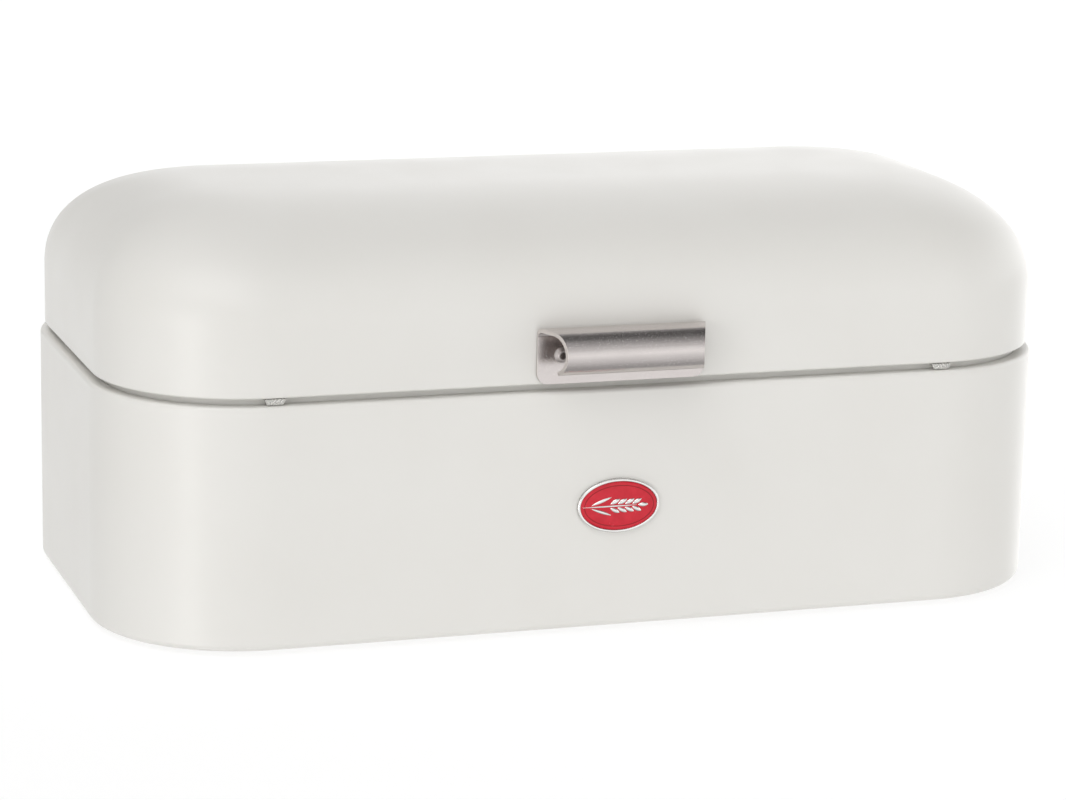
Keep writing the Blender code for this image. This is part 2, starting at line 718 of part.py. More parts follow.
def main():
    clear_scene()
    paint = make_material("cream powder coat", (0.78, 0.76, 0.71), 0.38)
    satin_metal = make_material("satin nickel", (0.62, 0.60, 0.59), 0.32, 1.0)
    steel = make_material("zinc-plated steel", (0.56, 0.57, 0.58), 0.35, 1.0)
    rubber = make_material("black rubber", (0.04, 0.04, 0.04), 0.75)
    silicone = make_material("clear silicone", (0.80, 0.80, 0.78), 0.25)
    enamel = make_material("red enamel", (0.62, 0.03, 0.04), 0.15)

    tub = make_empty("tub", None, (0, TUB_CENTRE_Y, 0))
    pivot = make_empty("lid_pivot", tub, (0, AXIS_Y, AXIS_Z))

    make_tub_shell(paint, tub)
    make_collar(paint, tub)
    make_base_pan(paint, tub)
    make_feet(rubber, tub)
    make_bumpers(silicone, tub)
    make_badge(satin_metal, enamel, tub)
    make_lid_shell(paint, tub, pivot)
    make_handle(satin_metal, pivot)
    make_handle_rivets(satin_metal, pivot)
    for side, name in SIDES:
        make_fixed_leaf("body_hinge_leaf_" + name, side * HINGE_X, steel, tub)
        make_moving_leaf("lid_hinge_leaf_" + name, side * HINGE_X, steel, pivot)
        make_hinge_pin("hinge_pin_" + name, side * HINGE_X, steel, tub)
    make_leaf_rivets(steel, tub, pivot)


main()
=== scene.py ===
"""The looks of the sheet-steel bread box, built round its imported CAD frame.

Metres, +Z up, the front facing -Y. Sizes and places come from the frame's boxes. The pressed
sheets, the handle, the hinges and the small turned parts are rebuilt here from the same profiles
as the CAD solids, in fine steps and with rounded edges.
"""

import json
import math

import bmesh
import bpy
from mathutils import Matrix, Vector


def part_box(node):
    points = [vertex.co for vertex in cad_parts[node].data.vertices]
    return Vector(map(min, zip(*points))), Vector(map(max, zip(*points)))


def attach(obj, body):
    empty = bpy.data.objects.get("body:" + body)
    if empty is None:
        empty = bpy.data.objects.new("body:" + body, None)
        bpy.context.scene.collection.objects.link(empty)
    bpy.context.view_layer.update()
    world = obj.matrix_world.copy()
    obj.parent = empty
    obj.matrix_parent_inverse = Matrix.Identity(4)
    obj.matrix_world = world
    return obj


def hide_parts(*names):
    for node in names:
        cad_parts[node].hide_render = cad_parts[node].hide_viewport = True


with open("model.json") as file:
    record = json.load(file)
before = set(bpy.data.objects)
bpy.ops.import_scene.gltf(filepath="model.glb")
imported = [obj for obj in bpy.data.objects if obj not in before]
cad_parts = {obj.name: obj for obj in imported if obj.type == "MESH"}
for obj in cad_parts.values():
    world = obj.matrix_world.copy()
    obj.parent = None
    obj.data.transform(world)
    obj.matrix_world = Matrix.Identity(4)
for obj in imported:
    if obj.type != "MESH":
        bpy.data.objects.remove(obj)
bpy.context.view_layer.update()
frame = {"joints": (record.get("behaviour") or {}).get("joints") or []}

# Places and sizes that the frame gives.
TUB_LOW, TUB_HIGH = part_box("body_shell")
LID_LOW, LID_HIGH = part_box("lid_shell")
COLLAR_LOW, COLLAR_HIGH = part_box("rim_collar")
PAN_LOW, PAN_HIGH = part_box("base_pan")
HANDLE_LOW, HANDLE_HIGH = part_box("lid_handle")
BADGE_LOW, BADGE_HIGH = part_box("badge_plate")
HALF_WIDTH = (TUB_HIGH.x - TUB_LOW.x) / 2
HALF_DEPTH = (TUB_HIGH.y - TUB_LOW.y) / 2
TUB_Y = (TUB_HIGH.y + TUB_LOW.y) / 2
LID_INSET = HALF_WIDTH - LID_HIGH.x
HINGE_AXIS = Vector(frame["joints"][0]["pos_m"])

# Shapes of the pressed sheets, as in the CAD source, apart from the tub's tighter top edge.
SHEET = 0.0008
GAP = 0.0003
CORNER_RADIUS = 0.063
ROLL_RADIUS = 0.003
TUB_EDGE_RADIUS = 0.0016
LEDGE_INSET = 0.0062
BASE_FLANGE_INSET = 0.009
LID_HEM_RADIUS = 0.0009
LID_FLANGE_INSET = 0.0054
LID_WALL_TOP_Z = 0.133
DOME_REACH_X = 0.058
DOME_REACH_Y = 0.089
DOME_TOP_RADIUS = 0.0204
DOME_EXPONENT = 2.2
COLLAR_FLANGE_INSET = 0.0023
COLLAR_NECK_INSET = 0.0066
COLLAR_LIP_INSET = 0.0092
COLLAR_BEND_RADIUS = 0.0014
PAN_BEND_RADIUS = 0.003
PAN_RING_WIDTH = 0.034
PAN_RISE = 0.0015

# Handle.
HANDLE_THICKNESS = 0.0016
HANDLE_BEND_RADIUS = 0.004
HANDLE_CURL_RADIUS = 0.009
HANDLE_CURL_END_DEG = -70
HANDLE_CORNER_RADIUS = 0.0047
HANDLE_END_SLANT = 0.38

# Handle rivets.
HANDLE_RIVET_SHANK = 0.0018
HANDLE_HOLE_RADIUS = HANDLE_RIVET_SHANK + GAP
HANDLE_RIVET_FLARE_RADIUS = 0.0034
HANDLE_RIVET_LIP_RADIUS = 0.0018
HANDLE_RIVET_LIP_HEIGHT = 0.0015
HANDLE_RIVET_BORE = 0.0013

# Hinges.
LEAF_THICKNESS = 0.0012
LEAF_HEIGHT = 0.020
LEAF_CORNER_RADIUS = 0.004
KNUCKLE_RADIUS = 0.0028
KNUCKLE_GAP = 0.0004
KNUCKLE_WIDTH = 0.022
KNUCKLE_CURL_END_DEG = 120
JOGGLE_LOW = 0.0030
JOGGLE_HIGH = 0.0050
LUG_REACH = 0.006
LUG_WIDTH = 0.011
LUG_THICKNESS = 0.0015
LUG_REST_DEG = 3
PIN_RADIUS = 0.0015
PIN_HEAD_HEIGHT = 0.0011
LEAF_RIVET_SHANK = 0.0016
LEAF_HOLE_RADIUS = LEAF_RIVET_SHANK + GAP
LEAF_RIVET_HEAD_RADIUS = 0.0032
LEAF_RIVET_HEAD_HEIGHT = 0.0014

# Feet, bumpers and air holes.
FOOT_NECK_RADIUS = 0.0022
FOOT_HOLE_RADIUS = FOOT_NECK_RADIUS + GAP
BUMPER_STEM_RADIUS = 0.0011
BUMPER_HOLE_RADIUS = BUMPER_STEM_RADIUS + GAP
BUMPER_BASE_HALF_WIDTH = 0.0033
AIR_HOLE_RADIUS = 0.0025
AIR_HOLE_PITCH = 0.012
AIR_HOLE_COLUMNS = 9
AIR_HOLE_ROWS_Z = (0.074, 0.086)

# How far the drills reach.
DRILL_LENGTH = 0.008
SHORT_DRILL_LENGTH = 0.004

# How widely cut and moulded edges are rounded.
SHEET_EDGE_WIDTH = 0.00018
PAN_EDGE_WIDTH = 0.00035
SMALL_EDGE_WIDTH = 0.0001
HANDLE_EDGE_WIDTH = 0.0004
HANDLE_RIVET_EDGE_WIDTH = 0.00012
BUMPER_EDGE_WIDTH = 0.0003
LEAF_EDGE_WIDTH = 0.00015

# How finely the round shapes are divided.
CORNER_STEPS = 28
ROLL_STEPS = 8
DOME_STEPS = 44
ROUND_STEPS = 48
LEAF_RIVET_STEPS = 32
GRAIN_STEPS = 14
HOLE_STEPS = 28
OVAL_STEPS = 96

SIDES = ("left", "right")


# Mesh tools.


def add_piece(name, mesh, material, body, stands_for=()):
    """Puts a mesh in the scene as a piece that rides on a body and stands for CAD nodes."""
    piece = bpy.data.objects.new(name, mesh)
    bpy.context.scene.collection.objects.link(piece)
    mesh.materials.clear()
    mesh.materials.append(material)
    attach(piece, body)
    if stands_for:
        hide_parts(*stands_for)
    return piece


def mesh_from(name, points, faces):
    """A smooth-shaded mesh whose normals point outwards."""
    mesh = bpy.data.meshes.new(name)
    mesh.from_pydata(points, [], faces)
    bm = bmesh.new()
    bm.from_mesh(mesh)
    bmesh.ops.recalc_face_normals(bm, faces=bm.faces)
    bm.to_mesh(mesh)
    bm.free()
    mesh.shade_smooth()
    return mesh


def loft_mesh(name, rings, cap_first=False, cap_last=False):
    """Quads between rings of equal length, with flat caps where asked."""
    count = len(rings[0])
    points = [point for ring in rings for point in ring]
    faces = []
    for level in range(len(rings) - 1):
        low, high = level * count, (level + 1) * count
        for i in range(count):
            j = (i + 1) % count
            faces.append((low + i, low + j, high + j, high + i))
    if cap_first:
        faces.append(tuple(reversed(range(count))))
    if cap_last:
        faces.append(tuple(range(len(points) - count, len(points))))
    return mesh_from(name, points, faces)


def arc(centre, radius, start_deg, end_deg, steps):
    """Points along an arc in a plane, both ends included."""
    points = []
    for step in range(steps + 1):
        angle = math.radians(start_deg + (end_deg - start_deg) * step / steps)
        points.append((centre[0] + radius * math.cos(angle), centre[1] + radius * math.sin(angle)))
    return points


def rounded_outline(half_x, half_y, radius):
    """A rounded rectangle about the tub's middle, from its right side round by the back."""
    points = []
    for corner, (side_x, side_y) in enumerate(((1, 1), (-1, 1), (-1, -1), (1, -1))):
        for step in range(CORNER_STEPS + 1):
            angle = math.radians(90 * (corner + step / CORNER_STEPS))
            x = side_x * (half_x - radius) + radius * math.cos(angle)
            y = side_y * (half_y - radius) + radius * math.sin(angle)
            points.append((x, y + TUB_Y))
    return points


def ring_at(inset, z):
    """The tub's plan outline moved in by inset, at height z."""
    outline = rounded_outline(HALF_WIDTH - inset, HALF_DEPTH - inset, CORNER_RADIUS - inset)
    return [(x, y, z) for x, y in outline]


def turned_mesh(name, profile, steps=ROUND_STEPS):
    """A solid of revolution about Z, from (radius, height) points."""
    rings = []
    for radius, height in profile:
        angles = [2 * math.pi * (step + 0.5) / steps for step in range(steps)]
        rings.append([(radius * math.cos(a), radius * math.sin(a), height) for a in angles])
    return loft_mesh(name, rings, cap_first=True, cap_last=True)


def offset_path(path, distance):
    """A path in a plane moved to its right-hand side, with its corners mitred."""
    moved = []
    for i, point in enumerate(path):
        here = Vector(point)
        into = (here - Vector(path[i - 1])).normalized() if i else None
        out = (Vector(path[i + 1]) - here).normalized() if i + 1 < len(path) else None
        into, out = into or out, out or into
        right_in = Vector((into.y, -into.x))
        right_out = Vector((out.y, -out.x))
        bisector = (right_in + right_out).normalized()
        moved.append(here + bisector * distance / bisector.dot(right_in))
    return moved


def ribbon_mesh(name, stations, thickness, half_width):
    """A bent strip. Stations are (reach, height) along its left face, and its width runs along X."""
    points = []
    for index, (a, b) in enumerate(zip(map(Vector, stations), offset_path(stations, thickness))):
        wide_a = half_width(a.x, a.y, index)
        wide_b = half_width(b.x, b.y, index)
        points += [(-wide_a, a.x, a.y), (wide_a, a.x, a.y), (wide_b, b.x, b.y), (-wide_b, b.x, b.y)]
    faces = [(0, 1, 2, 3)]
    for index in range(len(stations) - 1):
        low, high = 4 * index, 4 * index + 4
        for i in range(4):
            j = (i + 1) % 4
            faces.append((low + j, low + i, high + i, high + j))
    last = 4 * (len(stations) - 1)
    faces.append((last + 3, last + 2, last + 1, last))
    return mesh_from(name, points, faces)


def thicken(piece, thickness=SHEET):
    """Gives a sheet its thickness on the side away from its normals."""
    solidify = piece.modifiers.new("Sheet", "SOLIDIFY")
    solidify.thickness = thickness
    solidify.offset = -1
    solidify.use_even_offset = True


def round_edges(piece, width, segments=2, angle=40):
    """Rounds the sharp edges, and keeps the flat faces flat in the shading."""
    bevel = piece.modifiers.new("Rounded edges", "BEVEL")
    bevel.width = width
    bevel.segments = segments
    bevel.limit_method = "ANGLE"
    bevel.angle_limit = math.radians(angle)
    bevel.harden_normals = False
    weighted = piece.modifiers.new("Flat faces", "WEIGHTED_NORMAL")
    weighted.keep_sharp = True


def apply_modifiers(piece):
    """Makes the evaluated mesh the piece's own, so that it carries no modifier."""
    graph = bpy.context.evaluated_depsgraph_get()
    mesh = bpy.data.meshes.new_from_object(piece.evaluated_get(graph))
    piece.modifiers.clear()
    piece.data = mesh


def boolean(piece, mesh, operation, matrix=None):
    """Joins or cuts a piece with a helper mesh, which is then removed."""
    helper = bpy.data.objects.new("helper", mesh)
    bpy.context.scene.collection.objects.link(helper)
    helper.matrix_world = matrix or Matrix.Identity(4)
    modifier = piece.modifiers.new("Boolean", "BOOLEAN")
    modifier.operation = operation
    modifier.solver = "EXACT"
    modifier.object = helper
    apply_modifiers(piece)
    bpy.data.objects.remove(helper)


def drill(piece, holes):
    """Cuts round holes. Each is (centre, axis name, radius, length)."""
    cutter = bmesh.new()
    turns = {"Z": Matrix.Identity(4), "Y": Matrix.Rotation(math.radians(90), 4, "X")}
    for centre, axis, radius, length in holes:
        bmesh.ops.create_cone(
            cutter,
            cap_ends=True,
            segments=HOLE_STEPS,
            radius1=radius,
            radius2=radius,
            depth=length,
            matrix=Matrix.Translation(Vector(centre)) @ turns[axis],
        )
    mesh = bpy.data.meshes.new("holes")
    cutter.to_mesh(mesh)
    cutter.free()
    boolean(piece, mesh, "DIFFERENCE")


def block_mesh(low, high):
    bm = bmesh.new()
    bmesh.ops.create_cube(bm, size=1)
    middle = (Vector(high) + Vector(low)) / 2
    scale = Matrix.Diagonal((*(Vector(high) - Vector(low)), 1))
    bmesh.ops.transform(bm, matrix=Matrix.Translation(middle) @ scale, verts=bm.verts)
    mesh = bpy.data.meshes.new("block")
    bm.to_mesh(mesh)
    bm.free()
    return mesh


def centre_of(node):
    low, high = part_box(node)
    return (low + high) / 2


# Materials.


class Shading:
    """A new node material with a Principled shader and a few ways to vary it over the surface."""

    def __init__(self, name, colour, roughness, metallic=0.0, **constants):
        self.material = bpy.data.materials.new(name)
        self.material.use_nodes = True
        self.nodes = self.material.node_tree.nodes
        self.links = self.material.node_tree.links
        self.shader = self.nodes["Principled BSDF"]
        self.shader.inputs["Base Color"].default_value = (*colour, 1)
        self.shader.inputs["Roughness"].default_value = roughness
        self.shader.inputs["Metallic"].default_value = metallic
        for socket, value in constants.items():
            self.shader.inputs[socket.replace("_", " ")].default_value = value
        self.place = self.nodes.new("ShaderNodeTexCoord").outputs["Object"]

    def noise(self, size, detail=2.0, stretch=(1, 1, 1)):
        """Noise whose features are about this size, in metres."""
        mapping = self.nodes.new("ShaderNodeMapping")
        mapping.inputs["Scale"].default_value = [1 / (size * s) for s in stretch]
        self.links.new(self.place, mapping.inputs["Vector"])
        texture = self.nodes.new("ShaderNodeTexNoise")
        texture.inputs["Scale"].default_value = 1
        texture.inputs["Detail"].default_value = detail
        self.links.new(mapping.outputs["Vector"], texture.inputs["Vector"])
        return texture.outputs["Fac"]

    def spread(self, factor, low, high, start=0.3, end=0.7):
        """A factor's middle range spread over values from low to high."""
        spread = self.nodes.new("ShaderNodeMapRange")
        spread.inputs["From Min"].default_value = start
        spread.inputs["From Max"].default_value = end
        spread.inputs["To Min"].default_value = low
        spread.inputs["To Max"].default_value = high
        self.links.new(factor, spread.inputs["Value"])
        return spread.outputs["Result"]

    def blend_colours(self, factor, first, second):
        mix = self.nodes.new("ShaderNodeMix")
        mix.data_type = "RGBA"
        mix.inputs["A"].default_value = (*first, 1)
        mix.inputs["B"].default_value = (*second, 1)
        self.links.new(factor, mix.inputs["Factor"])
        return mix.outputs["Result"]

    def colour_from(self, output):
        self.links.new(output, self.shader.inputs["Base Color"])

    def roughness_from(self, output):
        self.links.new(output, self.shader.inputs["Roughness"])

    def bump_from(self, factor, height, below=None):
        """Raises the surface by up to this height, in metres, on top of another bump."""
        bump = self.nodes.new("ShaderNodeBump")
        bump.inputs["Strength"].default_value = 1
        bump.inputs["Distance"].default_value = height
        self.links.new(factor, bump.inputs["Height"])
        if below:
            self.links.new(below, bump.inputs["Normal"])
        self.links.new(bump.outputs["Normal"], self.shader.inputs["Normal"])
        return bump.outputs["Normal"]


def powder_coat():
    """Warm off-white satin powder coat, with its fine orange peel."""
    s = Shading("cream_powder_coat", (0.755, 0.742, 0.708), 0.36)
    mottle = s.spread(s.noise(0.05, detail=3), 0, 1)
    s.colour_from(s.blend_colours(mottle, (0.748, 0.734, 0.699), (0.762, 0.750, 0.717)))
    s.roughness_from(s.spread(s.noise(0.02), 0.34, 0.38))
    peel = s.bump_from(s.noise(0.0022, detail=1), 0.000012)
    s.bump_from(s.noise(0.0005, detail=2), 0.000002, peel)
    return s.material


def satin_nickel():
    """Nickel plate over a fine blasted surface."""
    s = Shading("satin_nickel", (0.66, 0.615, 0.60), 0.24, 1.0)
    smudge = s.spread(s.noise(0.006, detail=3, stretch=(3, 1, 1)), 0, 1)
    s.colour_from(s.blend_colours(smudge, (0.64, 0.595, 0.58), (0.68, 0.635, 0.62)))
    s.roughness_from(s.spread(s.noise(0.0004, detail=2), 0.20, 0.28))
    s.bump_from(s.noise(0.0003, detail=2), 0.000006)
    return s.material


def dull_nickel():
    """The handle rivets' plating, left rough by the setting tool."""
    s = Shading("dull_nickel", (0.60, 0.565, 0.55), 0.40, 1.0)
    wear = s.spread(s.noise(0.0012, detail=3), 0, 1)
    s.colour_from(s.blend_colours(wear, (0.54, 0.51, 0.495), (0.66, 0.62, 0.605)))
    s.roughness_from(s.spread(s.noise(0.0006, detail=2), 0.34, 0.46))
    s.bump_from(s.noise(0.0004, detail=2), 0.00001)
    return s.material


def bright_nickel():
    """The badge's polished nickel, with fine wiping marks."""
    s = Shading("bright_nickel", (0.86, 0.845, 0.83), 0.17, 1.0)
    haze = s.spread(s.noise(0.003, detail=3), 0, 1)
    s.colour_from(s.blend_colours(haze, (0.83, 0.815, 0.80), (0.89, 0.875, 0.865)))
    s.roughness_from(s.spread(s.noise(0.0015, detail=3, stretch=(4, 1, 1)), 0.12, 0.24))
    s.bump_from(s.noise(0.0005, detail=2, stretch=(5, 1, 1)), 0.000003)
    return s.material


def zinc_plate():
    """Bright zinc on steel strip, with the strip's rolling lines and a faint crystal pattern."""
    s = Shading("zinc_plate", (0.48, 0.49, 0.50), 0.36, 1.0)
    crystals_per_metre = 350
    mapping = s.nodes.new("ShaderNodeMapping")
    mapping.inputs["Scale"].default_value = [crystals_per_metre] * 3
    s.links.new(s.place, mapping.inputs["Vector"])
    crystals = s.nodes.new("ShaderNodeTexVoronoi")
    crystals.inputs["Scale"].default_value = 1
    s.links.new(mapping.outputs["Vector"], crystals.inputs["Vector"])
    grey = s.nodes.new("ShaderNodeRGBToBW")
    s.links.new(crystals.outputs["Color"], grey.inputs["Color"])
    s.colour_from(s.blend_colours(grey.outputs["Val"], (0.43, 0.44, 0.46), (0.53, 0.54, 0.54)))
    s.roughness_from(s.spread(s.noise(0.004, detail=3), 0.28, 0.42))
    s.bump_from(s.noise(0.0003, detail=2, stretch=(20, 1, 1)), 0.000005)
    return s.material


def foot_rubber():
    """Matt black moulded rubber."""
    s = Shading("foot_rubber", (0.035, 0.035, 0.036), 0.75)
    dust = s.spread(s.noise(0.004, detail=4), 0, 1, 0.45, 0.75)
    s.colour_from(s.blend_colours(dust, (0.030, 0.030, 0.031), (0.060, 0.059, 0.057)))
    s.roughness_from(s.spread(s.noise(0.002), 0.66, 0.84))
    s.bump_from(s.noise(0.0004, detail=3), 0.00002)
    return s.material


def bumper_silicone():
    """Soft silicone, milky rather than clear."""
    s = Shading("milky_silicone", (0.88, 0.87, 0.83), 0.25, IOR=1.41, Transmission_Weight=0.45)
    milk = s.spread(s.noise(0.002, detail=2), 0, 1)
    s.colour_from(s.blend_colours(milk, (0.84, 0.83, 0.79), (0.92, 0.91, 0.87)))
    s.roughness_from(s.spread(s.noise(0.0008), 0.20, 0.32))
    s.bump_from(s.noise(0.0016, detail=2), 0.000012)
    return s.material


def red_enamel(name, thin, thick):
    """Glossy vitreous enamel, redder where it lies thick."""
    s = Shading(name, thick, 0.26, Specular_IOR_Level=0.25, Coat_Weight=0.25, Coat_Roughness=0.08)
    depth = s.spread(s.noise(0.004, detail=3), 0, 1)
    s.colour_from(s.blend_colours(depth, thick, thin))
    s.roughness_from(s.spread(s.noise(0.003), 0.18, 0.28))
    s.bump_from(s.noise(0.0016, detail=1), 0.000012)
    return s.material


PAINT = powder_coat()
NICKEL = satin_nickel()
DULL_NICKEL = dull_nickel()
BRIGHT_NICKEL = bright_nickel()
ZINC = zinc_plate()
RUBBER = foot_rubber()
SILICONE = bumper_silicone()
ENAMEL = red_enamel("red_enamel", (0.62, 0.016, 0.034), (0.54, 0.010, 0.025))
LINE_ENAMEL = red_enamel("line_enamel", (0.34, 0.004, 0.010), (0.26, 0.003, 0.008))


# The tub and what is fixed to it.


def sheet_ring(name, path, body, stands_for, cap_first=False):
    """A painted sheet all round the box. Its path is (inset, height) from its first edge to its last."""
    rings = [ring_at(inset, z) for inset, z in path]
    mesh = loft_mesh(name, rings, cap_first=cap_first)
    piece = add_piece(name, mesh, PAINT, body, (stands_for,))
    thicken(piece)
    apply_modifiers(piece)
    return piece


def leaf_rivet_holes(body_name, y):
    holes = []
    for side in SIDES:
        for end in ("inner", "outer"):
            centre = centre_of(f"{body_name}_leaf_rivet_{side}_{end}")
            holes.append(((centre.x, y, centre.z), "Y", LEAF_HOLE_RADIUS, DRILL_LENGTH))
    return holes


def bumper_holes(z):
    holes = []
    for side in SIDES:
        centre = centre_of("lid_bumper_" + side)
        holes.append(((centre.x, centre.y, z), "Z", BUMPER_HOLE_RADIUS, SHORT_DRILL_LENGTH))
    return holes


def make_tub_wall():
    """The wall with a flange under the floor pan, a rounded foot and a ledge round its top."""
    low, high = TUB_LOW.z, TUB_HIGH.z
    foot, edge = ROLL_RADIUS, TUB_EDGE_RADIUS
    path = [(BASE_FLANGE_INSET, low)]
    path += arc((foot, low + foot), foot, 270, 180, ROLL_STEPS)
    path += arc((edge, high - edge), edge, 180, 90, ROLL_STEPS)
    path += [(LEDGE_INSET, high)]
    wall = sheet_ring("tub_wall", path, "tub", "body_shell")
    holes = bumper_holes(high) + leaf_rivet_holes("body", TUB_HIGH.y)
    for row_z in AIR_HOLE_ROWS_Z:
        for column in range(AIR_HOLE_COLUMNS):
            x = (column - (AIR_HOLE_COLUMNS - 1) / 2) * AIR_HOLE_PITCH
            holes.append(((x, TUB_HIGH.y, row_z), "Y", AIR_HOLE_RADIUS, DRILL_LENGTH))
    drill(wall, holes)
    round_edges(wall, SHEET_EDGE_WIDTH)


def make_collar():
    """The ring that stands on the ledge inside the seam."""
    flange_z = COLLAR_LOW.z + SHEET
    r = COLLAR_BEND_RADIUS
    path = [(COLLAR_FLANGE_INSET, flange_z), (COLLAR_NECK_INSET, flange_z)]
    path += arc((COLLAR_NECK_INSET + r, COLLAR_HIGH.z - r), r, 180, 90, ROLL_STEPS)
    path += [(COLLAR_LIP_INSET, COLLAR_HIGH.z)]
    collar = sheet_ring("seam_collar", path, "tub", "rim_collar")
    drill(collar, bumper_holes(flange_z))
    round_edges(collar, SHEET_EDGE_WIDTH)


def make_floor_pan():
    """The pressed floor, with a raised middle and an upright edge."""
    low = PAN_LOW.z
    wall = HALF_WIDTH - PAN_HIGH.x
    r = PAN_BEND_RADIUS
    path = [(PAN_RING_WIDTH + PAN_RISE, low + PAN_RISE), (PAN_RING_WIDTH, low)]
    path += arc((wall + r, low + r), r, 270, 180, ROLL_STEPS)
    path += [(wall, PAN_HIGH.z)]
    pan = sheet_ring("floor_pan", path, "tub", "base_pan", cap_first=True)
    feet = [centre_of(f"foot_{end}_{side}") for end in ("front", "back") for side in SIDES]
    drill(pan, [((foot.x, foot.y, low), "Z", FOOT_HOLE_RADIUS, SHORT_DRILL_LENGTH) for foot in feet])
    round_edges(pan, PAN_EDGE_WIDTH, segments=3, angle=30)


def make_feet():
    """Push-in feet with a rounded rim, a shallow recess in the sole and a barbed head inside."""
    low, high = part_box("foot_front_left")
    radius = (high.x - low.x) / 2
    under_pan = PAN_LOW.z - GAP
    over_pan = PAN_LOW.z + SHEET + GAP
    recess_radius, recess_depth = 0.0030, 0.0004
    sole_round, top_round = 0.0009, 0.0003
    barb_radius, tip_radius = 0.0034, 0.0019
    profile = [(recess_radius, recess_depth), (recess_radius + recess_depth, 0), (radius - sole_round, 0)]
    profile += arc((radius - sole_round, sole_round), sole_round, -75, 0, 6)
    profile += arc((radius - top_round, under_pan - top_round), top_round, 0, 90, 3)
    profile += [(FOOT_NECK_RADIUS, under_pan), (FOOT_NECK_RADIUS, over_pan), (barb_radius, over_pan)]
    profile += [(barb_radius + 0.0002, over_pan + 0.0003), (tip_radius + 0.0005, high.z - 0.0004)]
    profile += [(tip_radius, high.z)]
    for end in ("front", "back"):
        for side in SIDES:
            node = f"foot_{end}_{side}"
            mesh = turned_mesh(node, profile)
            centre = centre_of(node)
            mesh.transform(Matrix.Translation((centre.x, centre.y, 0)))
            foot = add_piece(f"rubber_{node}", mesh, RUBBER, "tub", (node,))
            round_edges(foot, SMALL_EDGE_WIDTH)


def make_bumpers():
    """Silicone wedges on the ledge, wider at the top, with a barbed stem down through it."""
    barb_radius, barb_height, tip_radius = 0.0015, 0.0016, 0.0007
    for side in SIDES:
        node = "lid_bumper_" + side
        low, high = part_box(node)
        centre = (low + high) / 2
        base = TUB_HIGH.z + GAP
        half_y = (high.y - low.y) / 2
        corners = ((1, 1), (-1, 1), (-1, -1), (1, -1))
        rings = []
        for half_x, z in ((BUMPER_BASE_HALF_WIDTH, base), ((high.x - low.x) / 2, high.z)):
            rings.append([(centre.x + x * half_x, centre.y + y * half_y, z) for x, y in corners])
        block = loft_mesh(node, rings, cap_first=True, cap_last=True)
        name = "clear_bumper_" + side
        bumper = add_piece(name, block, SILICONE, "tub", (node,))
        barb = [(tip_radius, low.z), (barb_radius, low.z + barb_height)]
        shank = [(BUMPER_STEM_RADIUS, low.z + barb_height + GAP), (BUMPER_STEM_RADIUS, base + 0.0005)]
        stem = turned_mesh("stem", barb + shank)
        boolean(bumper, stem, "UNION", Matrix.Translation((centre.x, centre.y, 0)))
        round_edges(bumper, BUMPER_EDGE_WIDTH, segments=3)


make_tub_wall()
make_collar()
make_floor_pan()
make_feet()
make_bumpers()


# The badge.


def oval_ring(centre, half_x, half_z, y):
    angles = [2 * math.pi * step / OVAL_STEPS for step in range(OVAL_STEPS)]
    return [(centre.x + half_x * math.cos(a), y, centre.z + half_z * math.sin(a)) for a in angles]


def oval_mesh(name, levels):
    """Ovals from the wall outwards, as (shrink from the badge's edge, y)."""
    centre = (BADGE_LOW + BADGE_HIGH) / 2
    half = (BADGE_HIGH - BADGE_LOW) / 2
    rings = [oval_ring(centre, half.x - shrink, half.z - shrink, y) for shrink, y in levels]
    return loft_mesh(name, rings, cap_first=True, cap_last=True)


def spindle_profile(length, half_width, steps=12):
    """A slim shape pointed at both ends, as (radius, height) points about its middle."""
    tip_radius = 0.00004
    profile = []
    for step in range(steps + 1):
        along = step / steps
        radius = half_width * math.sin(math.pi * along) ** 0.8
        profile.append((max(radius, tip_radius), (along - 0.5) * length))
    return profile


def make_wheat_ear(surface_y):
    """A plain ear of wheat lying along the badge, half sunk in the enamel."""
    centre = (BADGE_LOW + BADGE_HIGH) / 2
    grain = spindle_profile(length=0.0046, half_width=0.00095)
    leaf = spindle_profile(length=0.0095, half_width=0.0007)
    stalk = spindle_profile(length=0.0250, half_width=0.00038)
    first_pair_x, pair_pitch, grain_lean_deg = 0.0078, 0.0032, 27
    leaf_x, leaf_z, leaf_lean_deg = -0.0078, 0.0023, 20
    # Each part is its place along and across the badge, its lean and its profile.
    parts = [(0.0106, 0, 90, grain), (-0.0035, 0, 90, stalk)]
    for pair in range(4):
        along = first_pair_x - pair_pitch * pair
        across = 0.0016 + 0.0001 * pair
        for side in (1, -1):
            parts.append((along, side * across, 90 - side * grain_lean_deg, grain))
    for side in (1, -1):
        parts.append((leaf_x, side * leaf_z, 90 - side * leaf_lean_deg, leaf))
    bm = bmesh.new()
    for x, z, lean_deg, profile in parts:
        mesh = turned_mesh("spindle", profile, steps=GRAIN_STEPS)
        flatten = Matrix.Diagonal((1, 0.6, 1, 1))
        lie_down = Matrix.Rotation(math.radians(lean_deg), 4, "Y") @ flatten
        mesh.transform(Matrix.Translation((centre.x + x, surface_y, centre.z + z)) @ lie_down)
        bm.from_mesh(mesh)
        bpy.data.meshes.remove(mesh)
    ear = bpy.data.meshes.new("wheat_ear")
    bm.to_mesh(ear)
    bm.free()
    ear.shade_smooth()
    add_piece("wheat_ear", ear, BRIGHT_NICKEL, "tub")


